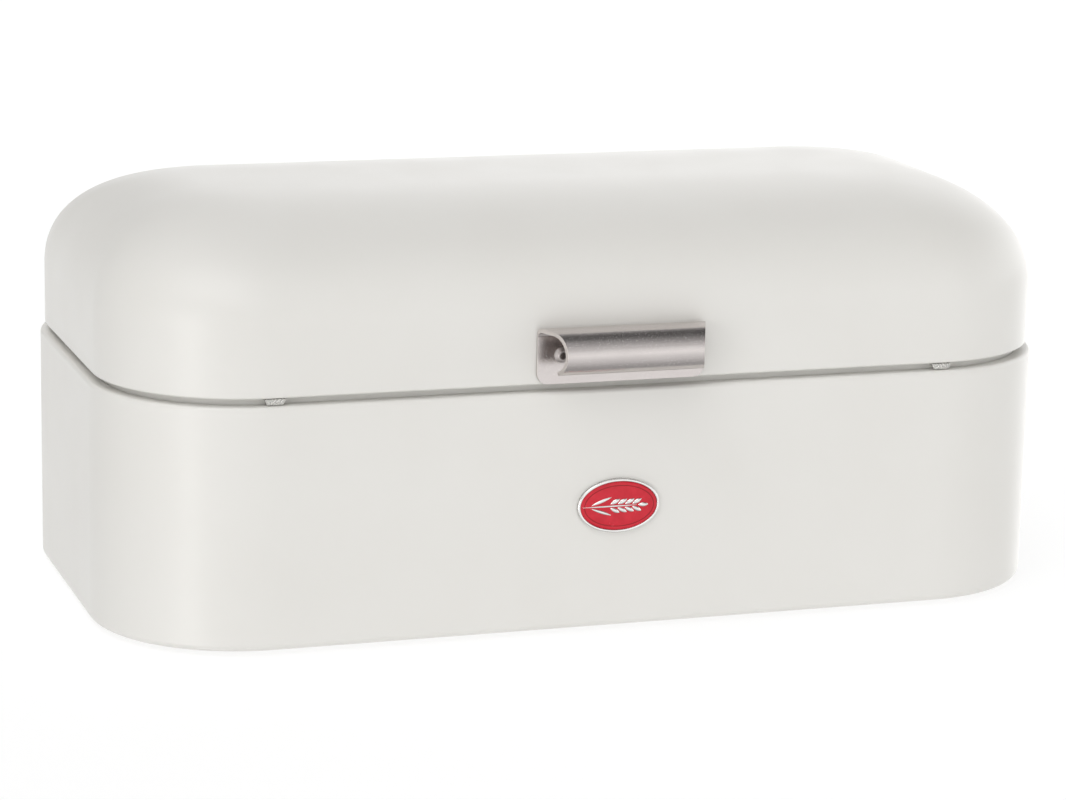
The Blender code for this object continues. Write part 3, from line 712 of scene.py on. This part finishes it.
def make_badge():
    """A metal oval with a raised rim, and red enamel inside it with an engraved line."""
    back, front = BADGE_HIGH.y, BADGE_LOW.y
    rim_width, rim_depth = 0.0011, 0.0007
    outer_round, inner_round = 0.0004, 0.00025
    edge = arc((outer_round, front + outer_round), outer_round, 180, 270, 6)
    inner_edge = arc((rim_width - inner_round, front + inner_round), inner_round, -90, 0, 4)
    levels = [(0, back)] + edge + inner_edge + [(rim_width, front + rim_depth)]
    plate = oval_mesh("badge_rim", levels)
    add_piece("badge_rim", plate, BRIGHT_NICKEL, "tub", ("badge_plate",))
    inlay_low, inlay_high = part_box("badge_inlay")
    inset = rim_width + 0.35 * GAP
    crown = inlay_low.y
    line, line_width, line_depth = inset + 0.0014, 0.0004, 0.00015
    edge_levels = [(inset, inlay_high.y), (inset, front + 0.0002), (inset + 0.0004, front)]
    line_levels = [(line, crown + 0.00006), (line + line_width / 2, crown + line_depth)]
    line_levels += [(line + line_width, crown + 0.00004)]
    inlay = oval_mesh("badge_enamel", edge_levels + line_levels + [(line + 0.0015, crown)])
    enamel = add_piece("badge_enamel", inlay, ENAMEL, "tub", ("badge_inlay",))
    enamel.data.materials.append(LINE_ENAMEL)
    for face in range(len(edge_levels) * OVAL_STEPS, (len(edge_levels) + 2) * OVAL_STEPS):
        inlay.polygons[face].material_index = 1
    make_wheat_ear(crown + 0.00005)


make_badge()


# The lid and what is fixed to it.


def dome_ring(turn):
    """The lid's outline where its dome has turned by this many degrees, from its wall to its top."""
    power = 2 / DOME_EXPONENT
    inward = 1 - math.cos(math.radians(turn)) ** power if turn < 90 else 1
    upward = math.sin(math.radians(turn)) ** power
    wall_radius = CORNER_RADIUS - LID_INSET
    outline = rounded_outline(
        HALF_WIDTH - LID_INSET - DOME_REACH_X * inward,
        HALF_DEPTH - LID_INSET - DOME_REACH_Y * inward,
        wall_radius + (DOME_TOP_RADIUS - wall_radius) * inward,
    )
    z = LID_WALL_TOP_Z + (LID_HIGH.z - LID_WALL_TOP_Z) * upward
    return [(x, y, z) for x, y in outline]


def make_lid():
    """The domed lid with a hem turned in at its foot."""
    r = LID_HEM_RADIUS
    hem = arc((LID_INSET + r, LID_LOW.z + r), r, 270, 180, ROLL_STEPS)
    rings = [ring_at(inset, z) for inset, z in [(LID_FLANGE_INSET, LID_LOW.z)] + hem]
    rings += [dome_ring(90 * step / DOME_STEPS) for step in range(DOME_STEPS + 1)]
    mesh = loft_mesh("lid", rings, cap_last=True)
    lid = add_piece("domed_lid", mesh, PAINT, "lid", ("lid_shell",))
    thicken(lid)
    apply_modifiers(lid)
    holes = leaf_rivet_holes("lid", LID_HIGH.y)
    for side in SIDES:
        centre = centre_of("handle_rivet_" + side)
        holes.append(((centre.x, LID_LOW.y, centre.z), "Y", HANDLE_HOLE_RADIUS, DRILL_LENGTH))
    drill(lid, holes)
    round_edges(lid, SHEET_EDGE_WIDTH)


def make_handle():
    """A bent strip: a plate on the lid, turned forward at the top and curled down in front."""
    half_plate = (HANDLE_HIGH.x - HANDLE_LOW.x) / 2
    height = HANDLE_HIGH.z - HANDLE_LOW.z
    reach = HANDLE_HIGH.y - HANDLE_LOW.y
    bend, curl, corner = HANDLE_BEND_RADIUS, HANDLE_CURL_RADIUS, HANDLE_CORNER_RADIUS

    def half_width(out, up, _index):
        half = half_plate - HANDLE_END_SLANT * max(0, out - HANDLE_THICKNESS)
        if up < corner and out < bend:
            half -= corner - math.sqrt(max(0, corner * corner - (corner - up) ** 2))
        return half

    stations = [(0, corner * (1 - math.cos(math.radians(9 * step)))) for step in range(11)]
    stations += arc((bend, height - bend), bend, 180, 90, 10)
    stations += arc((reach - curl, height - curl), curl, 90, HANDLE_CURL_END_DEG, 40)
    mesh = ribbon_mesh("handle", stations, HANDLE_THICKNESS, half_width)
    # Reach runs forward, which is -Y, so the strip is turned about Z.
    mesh.transform(Matrix.Translation((0, HANDLE_HIGH.y, HANDLE_LOW.z)) @ Matrix.Rotation(math.pi, 4, "Z"))
    handle = add_piece("curled_handle", mesh, NICKEL, "lid", ("lid_handle",))
    holes = []
    for side in SIDES:
        centre = centre_of("handle_rivet_" + side)
        holes.append(((centre.x, HANDLE_HIGH.y, centre.z), "Y", HANDLE_HOLE_RADIUS, DRILL_LENGTH))
    drill(handle, holes)
    round_edges(handle, HANDLE_EDGE_WIDTH, segments=3)


def make_handle_rivets():
    """Hollow rivets: a flared head with a dark bore in front, a rolled tail inside the lid."""
    plate_front = HANDLE_THICKNESS + GAP
    inside = -(SHEET + 2 * GAP)
    shank, flare, bore_radius = HANDLE_RIVET_SHANK, HANDLE_RIVET_FLARE_RADIUS, HANDLE_RIVET_BORE
    lip_centre = (HANDLE_RIVET_LIP_RADIUS, plate_front + HANDLE_RIVET_LIP_HEIGHT)
    head = [(flare, plate_front), (flare - 0.0002, plate_front + 0.0003), (0.0025, plate_front + 0.0010)]
    lip = arc(lip_centre, 0.0005, 0, 180, 10)
    bore = [(bore_radius, plate_front + 0.0006), (bore_radius - 0.0001, inside)]
    tail = [(0.0021, inside - 0.0014)] + arc((0.0025, inside - 0.0007), 0.0006, -80, 60, 6)
    profile = tail + [(shank, inside), (shank, plate_front)] + head + lip + bore
    for side in SIDES:
        node = "handle_rivet_" + side
        mesh = turned_mesh(node, profile)
        centre = centre_of(node)
        place = Matrix.Translation((centre.x, HANDLE_HIGH.y, centre.z))
        mesh.transform(place @ Matrix.Rotation(math.radians(90), 4, "X"))
        rivet = add_piece("hollow_rivet_" + side, mesh, DULL_NICKEL, "lid", (node,))
        round_edges(rivet, HANDLE_RIVET_EDGE_WIDTH)


make_lid()
make_handle()
make_handle_rivets()


# The hinges.


def leaf_half_width(distance_to_end, half):
    """A leaf's half-width, narrowed by its round corners near its end."""
    r = LEAF_CORNER_RADIUS
    if distance_to_end < r:
        half -= r - math.sqrt(r * r - (r - distance_to_end) ** 2)
    return half


def leaf_corner_distances():
    """Distances from a leaf's end that divide its round corners evenly."""
    return [LEAF_CORNER_RADIUS * (1 - math.cos(math.radians(10 * step))) for step in range(10)]


def knuckle_curl(start_deg, end_deg):
    return arc((0, 0), KNUCKLE_RADIUS, start_deg, end_deg, round((start_deg - end_deg) / 6))


def finish_leaf(name, mesh, body, node, x, holes, notch=None, lug=None):
    """Places a leaf modelled about the hinge's axis, and cuts and adds what is asked."""
    mesh.transform(Matrix.Translation((x, HINGE_AXIS.y, HINGE_AXIS.z)))
    leaf = add_piece(name, mesh, ZINC, body, (node,))
    place = Matrix.Translation((x, HINGE_AXIS.y, HINGE_AXIS.z))
    if notch:
        boolean(leaf, notch, "DIFFERENCE", place)
    if lug:
        boolean(leaf, lug, "UNION", place @ Matrix.Rotation(math.radians(LUG_REST_DEG), 4, "X"))
    drill(leaf, holes)
    round_edges(leaf, LEAF_EDGE_WIDTH)


def make_hinge(side):
    """A leaf on the tub, notched in the middle, and a leaf on the lid whose knuckle fills the notch."""
    fixed_node, moving_node = "body_hinge_leaf_" + side, "lid_hinge_leaf_" + side
    low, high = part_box(fixed_node)
    x, half = (low.x + high.x) / 2, (high.x - low.x) / 2
    front = -KNUCKLE_RADIUS
    corners = leaf_corner_distances()

    def fixed_half_width(_reach, up, index):
        return leaf_half_width(up + LEAF_HEIGHT, half) if index < len(corners) else half

    stations = [(front, distance - LEAF_HEIGHT) for distance in corners]
    stations += knuckle_curl(180, -KNUCKLE_CURL_END_DEG)
    mesh = ribbon_mesh(fixed_node, stations, LEAF_THICKNESS, fixed_half_width)
    half_notch = KNUCKLE_WIDTH / 2 + KNUCKLE_GAP
    past = 2 * KNUCKLE_RADIUS
    notch = block_mesh((-half_notch, -past, -(KNUCKLE_RADIUS + KNUCKLE_GAP)), (half_notch, past, past))
    holes = leaf_rivet_holes("body", HINGE_AXIS.y + front)
    finish_leaf("fixed_leaf_" + side, mesh, "tub", fixed_node, x, holes, notch=notch)

    wall = front - LID_INSET
    neck = knuckle_curl(KNUCKLE_CURL_END_DEG, -180) + [(front, JOGGLE_LOW), (wall, JOGGLE_HIGH)]
    plate = [(wall, JOGGLE_HIGH + GAP)] + [(wall, LEAF_HEIGHT - d) for d in reversed(corners)]

    def moving_half_width(_reach, up, index):
        return KNUCKLE_WIDTH / 2 if index < len(neck) else leaf_half_width(LEAF_HEIGHT - up, half)

    mesh = ribbon_mesh(moving_node, neck + plate, LEAF_THICKNESS, moving_half_width)
    lug = block_mesh(
        (-LUG_WIDTH / 2, KNUCKLE_RADIUS - LEAF_THICKNESS / 2, -LUG_THICKNESS / 2),
        (LUG_WIDTH / 2, LUG_REACH, LUG_THICKNESS / 2),
    )
    holes = leaf_rivet_holes("lid", HINGE_AXIS.y + wall)
    finish_leaf("moving_leaf_" + side, mesh, "lid", moving_node, x, holes, lug=lug)


def make_pin(side):
    """A pin along the knuckles with a low domed head at each end."""
    node = "hinge_pin_" + side
    low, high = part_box(node)
    half, head = (high.x - low.x) / 2, (high.z - low.z) / 2
    shoulder = half - PIN_HEAD_HEIGHT
    dome = arc((0, shoulder), head, 0, 80, 8)
    cap = [(radius, shoulder + (height - shoulder) * PIN_HEAD_HEIGHT / head) for radius, height in dome]
    profile = [(radius, -height) for radius, height in reversed(cap)]
    profile += [(PIN_RADIUS, -shoulder), (PIN_RADIUS, shoulder)] + cap
    mesh = turned_mesh(node, profile)
    centre = (low + high) / 2
    mesh.transform(Matrix.Translation(centre) @ Matrix.Rotation(math.radians(90), 4, "Y"))
    pin = add_piece("pin_" + side, mesh, ZINC, "tub", (node,))
    round_edges(pin, SMALL_EDGE_WIDTH)


def make_leaf_rivets(body, body_name, leaf_front_y):
    """Rivets with a low domed head on the leaf and a flattened tail inside the sheet."""
    outside = LEAF_THICKNESS + GAP
    inside = -(SHEET + 2 * GAP)
    flatness = LEAF_RIVET_HEAD_HEIGHT / LEAF_RIVET_HEAD_RADIUS
    dome = arc((0, 0), LEAF_RIVET_HEAD_RADIUS, 0, 81, 9)
    head = [(radius, outside + flatness * height) for radius, height in dome]
    tail_radius, tail_height = 0.0025, 0.0011
    tail = [(tail_radius - 0.0007, inside - tail_height), (tail_radius - 0.0001, inside - 0.0008)]
    tail += [(tail_radius, inside - 0.0004), (tail_radius, inside)]
    profile = tail + [(LEAF_RIVET_SHANK, inside), (LEAF_RIVET_SHANK, outside)] + head
    for side in SIDES:
        for end in ("inner", "outer"):
            node = f"{body_name}_leaf_rivet_{side}_{end}"
            centre = centre_of(node)
            mesh = turned_mesh(node, profile, steps=LEAF_RIVET_STEPS)
            place = Matrix.Translation((centre.x, leaf_front_y, centre.z))
            mesh.transform(place @ Matrix.Rotation(math.radians(-90), 4, "X"))
            name = f"{body}_rivet_{side}_{end}"
            rivet = add_piece(name, mesh, ZINC, body, (node,))
            round_edges(rivet, SMALL_EDGE_WIDTH)


for hinge_side in SIDES:
    make_hinge(hinge_side)
    make_pin(hinge_side)
make_leaf_rivets("tub", "body", HINGE_AXIS.y - KNUCKLE_RADIUS)
make_leaf_rivets("lid", "lid", HINGE_AXIS.y - KNUCKLE_RADIUS - LID_INSET)


# The studio.

CAMERA_YAW_DEG = 18.61
CAMERA_PITCH_DEG = 13.07
CAMERA_ROLL_DEG = 1.20
CAMERA_DISTANCE = 1.5763
CAMERA_TARGET = Vector((-0.0004, TUB_Y, 0.0738))
LENS_MM = 120
SENSOR_MM = 36
FLOOR_RADIUS = 12
FLOOR_GLOW = 0.72


def make_camera():
    """The camera, to the left of the front and a little above."""
    yaw, pitch, roll = map(math.radians, (CAMERA_YAW_DEG, CAMERA_PITCH_DEG, CAMERA_ROLL_DEG))
    ahead = Vector((math.sin(yaw) * math.cos(pitch), math.cos(yaw) * math.cos(pitch), -math.sin(pitch)))
    level = Vector((math.cos(yaw), -math.sin(yaw), 0))
    upright = level.cross(ahead)
    right = level * math.cos(roll) + upright * math.sin(roll)
    up = upright * math.cos(roll) - level * math.sin(roll)
    camera = bpy.data.objects.new("camera", bpy.data.cameras.new("camera"))
    bpy.context.scene.collection.objects.link(camera)
    turn = Matrix((right, up, -ahead)).transposed().to_4x4()
    camera.matrix_world = Matrix.Translation(CAMERA_TARGET - ahead * CAMERA_DISTANCE) @ turn
    camera.data.sensor_width = SENSOR_MM
    camera.data.lens = LENS_MM
    bpy.context.scene.camera = camera


def make_floor():
    """A large pale floor that glows a little and stays out of reflections."""
    bm = bmesh.new()
    bmesh.ops.create_circle(bm, cap_ends=True, segments=96, radius=FLOOR_RADIUS)
    mesh = bpy.data.meshes.new("floor")
    bm.to_mesh(mesh)
    bm.free()
    floor = bpy.data.objects.new("floor", mesh)
    bpy.context.scene.collection.objects.link(floor)
    white = (1, 1, 1, 1)
    s = Shading("white_sweep", (0.3, 0.3, 0.3), 0.8, Emission_Color=white, Emission_Strength=FLOOR_GLOW)
    mesh.materials.append(s.material)
    floor.visible_glossy = False


def sky_direction(azimuth, elevation):
    """A unit vector. Azimuth 0 is in front, and 90 is on the right."""
    a, e = math.radians(azimuth), math.radians(elevation)
    return Vector((math.sin(a) * math.cos(e), -math.cos(a) * math.cos(e), math.sin(e)))


class Sky:
    """Light that depends only on its direction, added up patch by patch."""

    def __init__(self, world):
        self.nodes, self.links = world.node_tree.nodes, world.node_tree.links
        self.direction = self.nodes.new("ShaderNodeTexCoord").outputs["Generated"]
        self.total = None

    def math(self, operation, first, second):
        node = self.nodes.new("ShaderNodeMath")
        node.operation = operation
        for socket, value in zip(node.inputs, (first, second)):
            if isinstance(value, (int, float)):
                socket.default_value = value
            else:
                self.links.new(value, socket)
        return node.outputs["Value"]

    def component(self, azimuth, elevation):
        """How far each direction points the given way, from -1 to 1."""
        dot = self.nodes.new("ShaderNodeVectorMath")
        dot.operation = "DOT_PRODUCT"
        self.links.new(self.direction, dot.inputs[0])
        dot.inputs[1].default_value = sky_direction(azimuth, elevation)
        return dot.outputs["Value"]

    def window(self, value, start, end):
        """0 before the start and 1 after the end, with a smooth step between them."""
        step = self.nodes.new("ShaderNodeMapRange")
        step.interpolation_type = "SMOOTHSTEP"
        step.inputs["From Min"].default_value = start
        step.inputs["From Max"].default_value = end
        self.links.new(value, step.inputs["Value"])
        return step.outputs["Result"]

    def add(self, light, strength):
        light = self.math("MULTIPLY", light, strength)
        self.total = light if self.total is None else self.math("ADD", self.total, light)

    def add_gradient(self, stops):
        """(elevation, strength) stops from straight down to straight up."""
        up = self.component(0, 90)
        place = self.math("MULTIPLY_ADD", up, 0.5)
        place.node.inputs[2].default_value = 0.5
        ramp = self.nodes.new("ShaderNodeValToRGB")
        elements = ramp.color_ramp.elements
        places = [(math.sin(math.radians(elevation)) + 1) / 2 for elevation, _strength in stops]
        for place_between in places[1:-1]:
            elements.new(place_between)
        for element, position, (_elevation, strength) in zip(elements, places, stops):
            element.position = position
            element.color = (strength, strength, strength, 1)
        self.links.new(place, ramp.inputs["Fac"])
        self.add(ramp.outputs["Color"], 1)

    def patch(self, azimuth, elevation, inner, outer):
        """A round patch, full within the inner angle and faded out at the outer one."""
        toward = self.component(azimuth, elevation)
        return self.window(toward, math.cos(math.radians(outer)), math.cos(math.radians(inner)))

    def add_panel(self, azimuth, elevation, inner, outer, strength, lowest=0):
        """A round soft panel, cut off below its lowest elevation."""
        bottom = math.sin(math.radians(lowest))
        above = self.window(self.component(0, 90), bottom, bottom + 0.05)
        self.add(self.math("MULTIPLY", self.patch(azimuth, elevation, inner, outer), above), strength)

    def add_flag(self, azimuth, elevation, inner, outer, strength):
        """Holds back this share of what has been added so far."""
        held_back = self.math("MULTIPLY", self.patch(azimuth, elevation, inner, outer), strength)
        self.total = self.math("MULTIPLY", self.total, self.math("SUBTRACT", 1, held_back))

    def add_strip(self, azimuth, half_width, low, high, strength):
        """An upright strip, faded out at its half-width and towards its low and high elevations."""
        aside = self.math("ABSOLUTE", self.component(azimuth + 90, 0), 0)
        reach = math.sin(math.radians(half_width))
        across = self.window(aside, reach, reach / 3)
        ahead = self.window(self.component(azimuth, 0), 0, 0.2)
        up = self.component(0, 90)
        bottom, top = math.sin(math.radians(low)), math.sin(math.radians(high))
        fade = (top - bottom) / 4
        over_bottom = self.window(up, bottom, bottom + fade)
        under_top = self.window(up, top, top - fade)
        along = self.math("MULTIPLY", over_bottom, under_top)
        self.add(self.math("MULTIPLY", self.math("MULTIPLY", across, ahead), along), strength)

    def show_camera(self, strength):
        """Shows the camera an even backdrop, and leaves the light and the reflections as they are."""
        seen = self.nodes.new("ShaderNodeLightPath").outputs["Is Camera Ray"]
        lit = self.math("MULTIPLY", self.total, self.math("SUBTRACT", 1, seen))
        self.total = self.math("ADD", lit, self.math("MULTIPLY", seen, strength))


def make_world():
    """Soft panels all round, a bright upright strip at the left front, and dark at the top right."""
    world = bpy.data.worlds.new("studio")
    world.use_nodes = True
    # The floor hides the lower half of this sky from direct lighting but not from reflections, so
    # every ray has to find the sky by itself.
    world.cycles.sampling_method = "NONE"
    sky = Sky(world)
    # (elevation, strength) stops.
    below = ((-90, 0.25), (-70, 0.40), (-48, 0.68), (-24, 0.9), (-1, 1.2))
    above = ((0, 0.85), (25, 0.45), (50, 1.4), (75, 2.9), (90, 3.0))
    sky.add_gradient(below + above)
    sky.add_flag(azimuth=90, elevation=55, inner=15, outer=65, strength=0.97)
    sky.add_flag(azimuth=-125, elevation=20, inner=15, outer=60, strength=0.7)
    sky.add_panel(azimuth=15, elevation=5, inner=5, outer=40, strength=0.30)
    sky.add_panel(azimuth=-35, elevation=60, inner=10, outer=40, strength=0.65)
    sky.add_panel(azimuth=95, elevation=8, inner=10, outer=40, strength=1.5)
    sky.add_panel(azimuth=140, elevation=5, inner=15, outer=40, strength=1.0, lowest=-30)
    sky.add_strip(azimuth=-50, half_width=11, low=-30, high=25, strength=3.7)
    sky.show_camera(strength=1.0)
    background = world.node_tree.nodes["Background"]
    sky.links.new(sky.total, background.inputs["Strength"])
    background.inputs["Color"].default_value = (1.0, 1.0, 1.0, 1)
    bpy.context.scene.world = world


make_camera()
make_floor()
make_world()
bpy.context.scene.view_settings.view_transform = "Standard"
